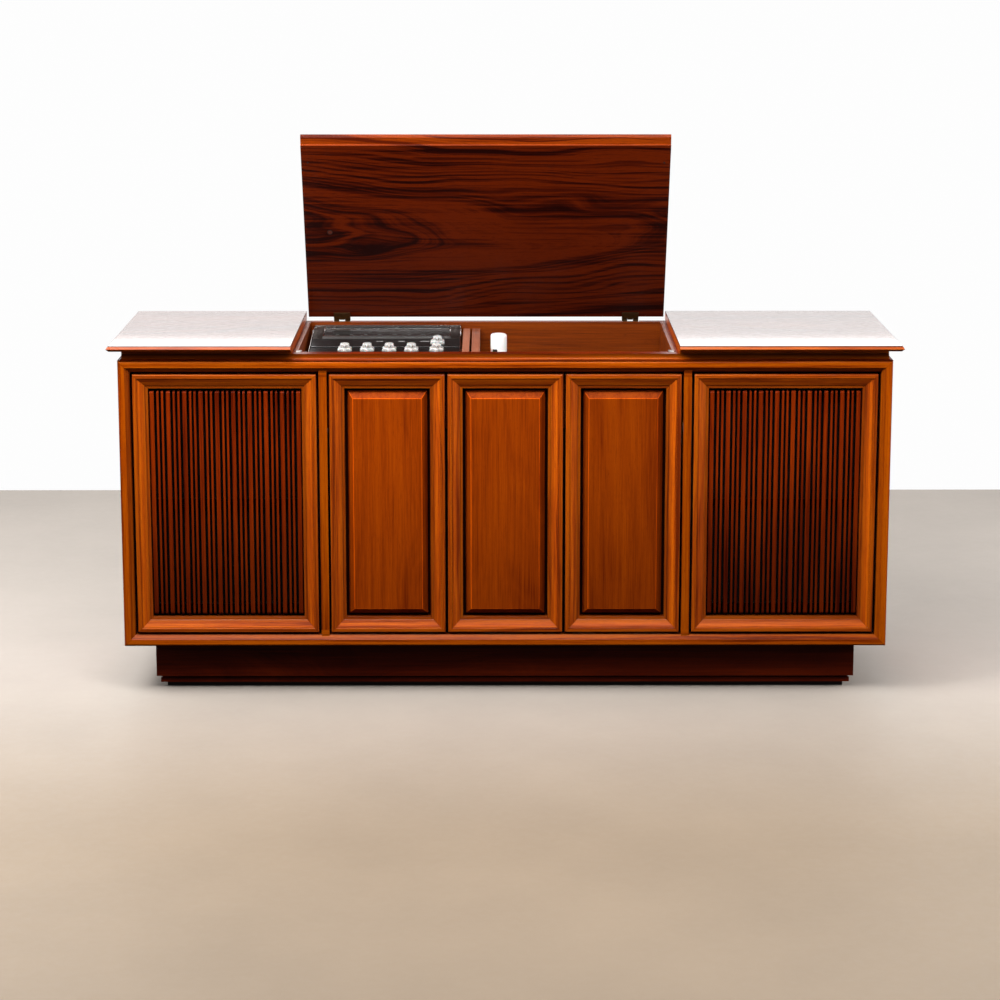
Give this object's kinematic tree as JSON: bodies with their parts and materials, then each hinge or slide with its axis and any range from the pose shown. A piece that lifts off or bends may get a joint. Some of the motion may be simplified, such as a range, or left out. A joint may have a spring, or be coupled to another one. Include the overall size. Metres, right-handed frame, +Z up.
{
  "type": "radio phonograph console",
  "caption": "Long low walnut console with slatted speaker grilles, fielded front panels, a hinged lid over a sloped radio panel and a record changer, on a recessed plinth.",
  "frame": {"origin": "on the floor, under the middle of the whole object with its lid open", "axes": "+X to the right of someone facing the front, +Y to the back, +Z up"},
  "size_m": [1.7012, 0.496, 1.2027],
  "materials": {
    "walnut_front": "satin lacquered walnut, upright grain",
    "walnut_case": "satin lacquered walnut veneer",
    "walnut_top": "polished lacquered walnut veneer",
    "dark_walnut": "dark stained walnut",
    "inner_wood": "plain unfinished board",
    "hardboard": "brown pressed board",
    "black_base": "black painted softwood",
    "grille_cloth": "black open-weave cloth",
    "hinge_metal": "bronzed",
    "panel_black": "satin black enamel",
    "dial_glass": "smoked glass",
    "pointer_red": "red plastic",
    "knob_plastic": "pearl white plastic",
    "adapter_plastic": "cream plastic",
    "arm_plastic": "cream plastic",
    "chassis_steel": "plated steel",
    "deck_paint": "grey enamel",
    "bright_metal": "bright plated",
    "platter_metal": "turned aluminium",
    "black_rubber": "matt black rubber",
    "speaker_black": "black paper cone and painted basket",
    "gland_black": "black moulded bush"
  },
  "bodies": {
    "cabinet": {"face_frame": "walnut_front", "left_grille_frame": "walnut_front", "right_grille_frame": "walnut_front", "left_grille_slats": "walnut_front", "right_grille_slats": "walnut_front", "left_panel_frame": "walnut_front", "centre_panel_frame": "walnut_front", "right_panel_frame": "walnut_front", "left_raised_panel": "walnut_front", "centre_raised_panel": "walnut_front", "right_raised_panel": "walnut_front", "left_side_panel": "walnut_case", "right_side_panel": "walnut_case", "top_neck_frame": "walnut_case", "left_fixed_top": "walnut_top", "right_fixed_top": "walnut_top", "plinth_frame": "dark_walnut", "bottom_panel": "inner_wood", "left_partition": "inner_wood", "right_partition": "inner_wood", "well_box": "inner_wood", "well_floor": "inner_wood", "tuner_side_board": "inner_wood", "changer_side_board": "inner_wood", "left_speaker_baffle": "inner_wood", "right_speaker_baffle": "inner_wood", "back_panel": "hardboard", "plinth_base": "black_base", "left_grille_cloth": "grille_cloth", "right_grille_cloth": "grille_cloth", "left_hinge_fixed_leaf": "hinge_metal", "right_hinge_fixed_leaf": "hinge_metal", "control_panel": "panel_black", "dial_glass": "dial_glass", "tuner_chassis": "chassis_steel", "drive_motor": "chassis_steel", "changer_baseplate": "deck_paint", "spindle": "bright_metal", "left_speaker": "speaker_black", "right_speaker": "speaker_black", "mains_gland": "gland_black"},
    "lid": {"lid": "walnut_top", "left_hinge_moving_leaf": "hinge_metal", "right_hinge_moving_leaf": "hinge_metal"},
    "volume_knob": {"volume_knob": "knob_plastic"},
    "bass_knob": {"bass_knob": "knob_plastic"},
    "treble_knob": {"treble_knob": "knob_plastic"},
    "balance_knob": {"balance_knob": "knob_plastic"},
    "mode_knob": {"mode_knob": "knob_plastic"},
    "tuning_knob": {"tuning_knob": "knob_plastic"},
    "pointer": {"dial_pointer": "pointer_red"},
    "platter": {"platter": "platter_metal", "platter_mat": "black_rubber"},
    "idler": {"idler_wheel": "black_rubber"},
    "pulley": {"motor_pulley": "chassis_steel"},
    "tonearm_post": {"tonearm_post": "deck_paint"},
    "tonearm": {"tonearm": "arm_plastic"},
    "overarm": {"overarm": "bright_metal"},
    "changer_knob": {"changer_knob": "knob_plastic"},
    "adapter": {"adapter_45": "adapter_plastic"}
  },
  "joints": [
    {"name": "lid_hinge", "type": "hinge", "parent": "cabinet", "child": "lid", "pos_m": [0, 0.23509, 0.76], "axis": [-1, 0, 0], "range_deg": [-65.2, 0]},
    {"name": "volume_knob_turn", "type": "hinge", "parent": "cabinet", "child": "volume_knob", "pos_m": [-0.3567, 0.0091, 0.7218], "axis": [0, 0.1219, -0.9925], "range_deg": [-150, 150]},
    {"name": "bass_knob_turn", "type": "hinge", "parent": "cabinet", "child": "bass_knob", "pos_m": [-0.3068, 0.0091, 0.7218], "axis": [0, 0.1219, -0.9925], "range_deg": [-150, 150]},
    {"name": "treble_knob_turn", "type": "hinge", "parent": "cabinet", "child": "treble_knob", "pos_m": [-0.2573, 0.0091, 0.7218], "axis": [0, 0.1219, -0.9925], "range_deg": [-150, 150]},
    {"name": "balance_knob_turn", "type": "hinge", "parent": "cabinet", "child": "balance_knob", "pos_m": [-0.2082, 0.0091, 0.7218], "axis": [0, 0.1219, -0.9925], "range_deg": [-150, 150]},
    {"name": "mode_knob_turn", "type": "hinge", "parent": "cabinet", "child": "mode_knob", "pos_m": [-0.152, 0.0091, 0.7218], "axis": [0, 0.1219, -0.9925], "range_deg": [-60, 60]},
    {"name": "tuning_knob_turn", "type": "hinge", "parent": "cabinet", "child": "tuning_knob", "pos_m": [-0.1512, 0.06439, 0.72859], "axis": [0, 0.1219, -0.9925], "range_deg": [-1080, 1080]},
    {"name": "pointer_slide", "type": "slide", "parent": "cabinet", "child": "pointer", "axis": [1, 0, 0], "range_m": [-0.12, 0.12]},
    {"name": "platter_spin", "type": "hinge", "parent": "cabinet", "child": "platter", "pos_m": [0.155, 0.00759, 0.636], "axis": [0, 0, -1], "continuous": true},
    {"name": "idler_spin", "type": "hinge", "parent": "cabinet", "child": "idler", "pos_m": [0.20935, 0.10173, 0.6245], "axis": [0, 0, -1], "continuous": true},
    {"name": "pulley_spin", "type": "hinge", "parent": "cabinet", "child": "pulley", "pos_m": [0.199, 0.0838, 0.6245], "axis": [0, 0, -1], "continuous": true},
    {"name": "tonearm_swing", "type": "hinge", "parent": "cabinet", "child": "tonearm_post", "pos_m": [0.322, 0.10259, 0.64], "axis": [0, 0, -1], "range_deg": [0, 46]},
    {"name": "tonearm_lift", "type": "hinge", "parent": "tonearm_post", "child": "tonearm", "pos_m": [0.322, 0.10259, 0.656], "axis": [-1, 0, 0], "range_deg": [0, 15]},
    {"name": "overarm_swing", "type": "hinge", "parent": "cabinet", "child": "overarm", "pos_m": [0.045, 0.11759, 0.65], "axis": [0, 0, -1], "range_deg": [0, 80]},
    {"name": "changer_knob_turn", "type": "hinge", "parent": "cabinet", "child": "changer_knob", "pos_m": [0.288, -0.12541, 0.618], "axis": [0, 0, -1], "range_deg": [0, 90]},
    {"name": "adapter_lift", "type": "slide", "parent": "cabinet", "child": "adapter", "axis": [0, 0, 1], "range_m": [0, 0.12]}
  ],
  "couplings": [
    {"joint": "pointer_slide", "follows": "tuning_knob_turn", "m_per_rad": 0.00636},
    {"joint": "idler_spin", "follows": "platter_spin", "ratio": 7.0556},
    {"joint": "pulley_spin", "follows": "platter_spin", "ratio": -52.917}
  ]
}
